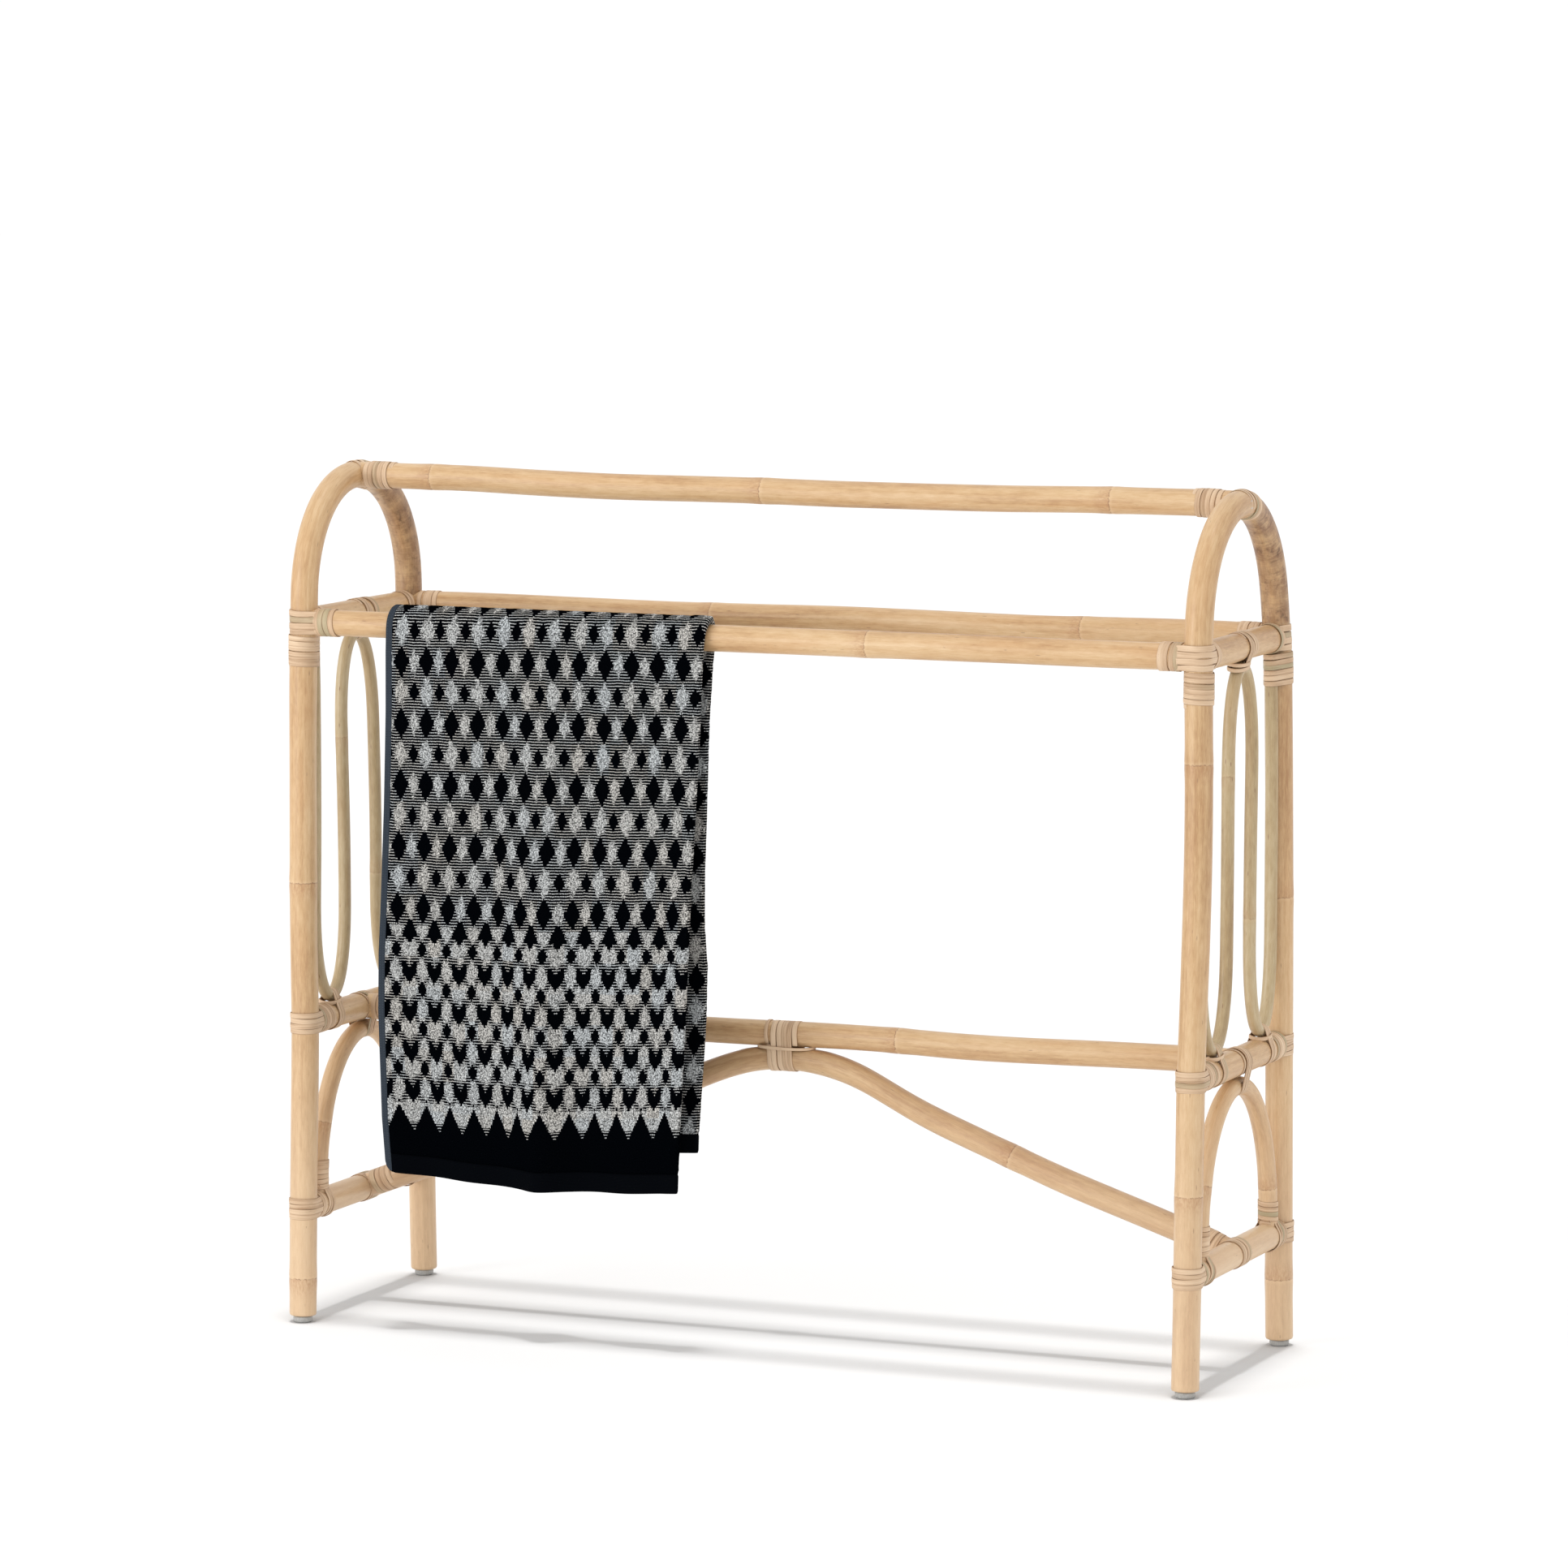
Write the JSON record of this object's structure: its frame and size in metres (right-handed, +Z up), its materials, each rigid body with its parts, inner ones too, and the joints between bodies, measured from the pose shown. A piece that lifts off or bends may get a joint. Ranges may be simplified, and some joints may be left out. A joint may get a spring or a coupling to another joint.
{
  "type": "towel on a rattan rack",
  "caption": "Folded jacquard terry towel hung over the front rail of a free-standing rattan towel rack with arched ends.",
  "frame": {"origin": "on the floor under the middle of the rack, at the bottom centre of the whole object", "axes": "+X along the rails, +Y from the front rail (which holds the towel) to the back rail, +Z up"},
  "size_m": [1.003, 0.3106, 0.8835],
  "materials": {
    "rattan_pole": "satin lacquer over peeled rattan, with darker rings at the growth nodes",
    "rattan_cane": "satin, greener and greyer thin cane",
    "rattan_peel": "matt split peel, wound in bands",
    "glide_plastic": "grey nail-on glide",
    "screw_steel": "zinc-plated countersunk screw",
    "terry": "black and off-white jacquard terry, in rows of diamonds",
    "side_hem": "slate-grey flat-woven side hem with stitching",
    "end_hem": "black flat-woven end hem"
  },
  "bodies": {
    "rack": {"end_frame_left": "rattan_pole", "end_frame_right": "rattan_pole", "rail_top": "rattan_pole", "rail_front": "rattan_pole", "rail_back": "rattan_pole", "stretcher": "rattan_pole", "brace": "rattan_pole", "side_bar_upper_left": "rattan_pole", "side_bar_upper_right": "rattan_pole", "side_bar_middle_left": "rattan_pole", "side_bar_middle_right": "rattan_pole", "side_bar_lower_left": "rattan_pole", "side_bar_lower_right": "rattan_pole", "foot_arch_left": "rattan_pole", "foot_arch_right": "rattan_pole", "wave_cane_left": "rattan_cane", "wave_cane_right": "rattan_cane", "bind_apex_left": "rattan_peel", "bind_upper_tie_left": "rattan_peel", "bind_middle_tie_left": "rattan_peel", "bind_lower_tie_left": "rattan_peel", "bind_rail_front_left": "rattan_peel", "bind_middle_front_left": "rattan_peel", "bind_lower_front_left": "rattan_peel", "bind_wave_front_left": "rattan_peel", "bind_foot_front_left": "rattan_peel", "bind_rail_back_left": "rattan_peel", "bind_middle_back_left": "rattan_peel", "bind_lower_back_left": "rattan_peel", "bind_wave_back_left": "rattan_peel", "bind_foot_back_left": "rattan_peel", "bind_apex_right": "rattan_peel", "bind_upper_tie_right": "rattan_peel", "bind_middle_tie_right": "rattan_peel", "bind_lower_tie_right": "rattan_peel", "bind_rail_front_right": "rattan_peel", "bind_middle_front_right": "rattan_peel", "bind_lower_front_right": "rattan_peel", "bind_wave_front_right": "rattan_peel", "bind_foot_front_right": "rattan_peel", "bind_rail_back_right": "rattan_peel", "bind_middle_back_right": "rattan_peel", "bind_lower_back_right": "rattan_peel", "bind_wave_back_right": "rattan_peel", "bind_foot_back_right": "rattan_peel", "bind_crest": "rattan_peel", "glide_front_left": "glide_plastic", "glide_front_right": "glide_plastic", "glide_back_left": "glide_plastic", "glide_back_right": "glide_plastic", "screw_top_left": "screw_steel", "screw_top_right": "screw_steel", "screw_front_left": "screw_steel", "screw_front_right": "screw_steel", "screw_back_left": "screw_steel", "screw_back_right": "screw_steel"},
    "towel": {"towel": "terry", "towel_side_hem": "side_hem", "towel_hem_front": "end_hem", "towel_hem_back": "end_hem"}
  },
  "joints": [
    {"name": "towel_slide", "type": "slide", "parent": "rack", "child": "towel", "axis": [1, 0, 0], "range_m": [-0.055, 0.485]}
  ]
}
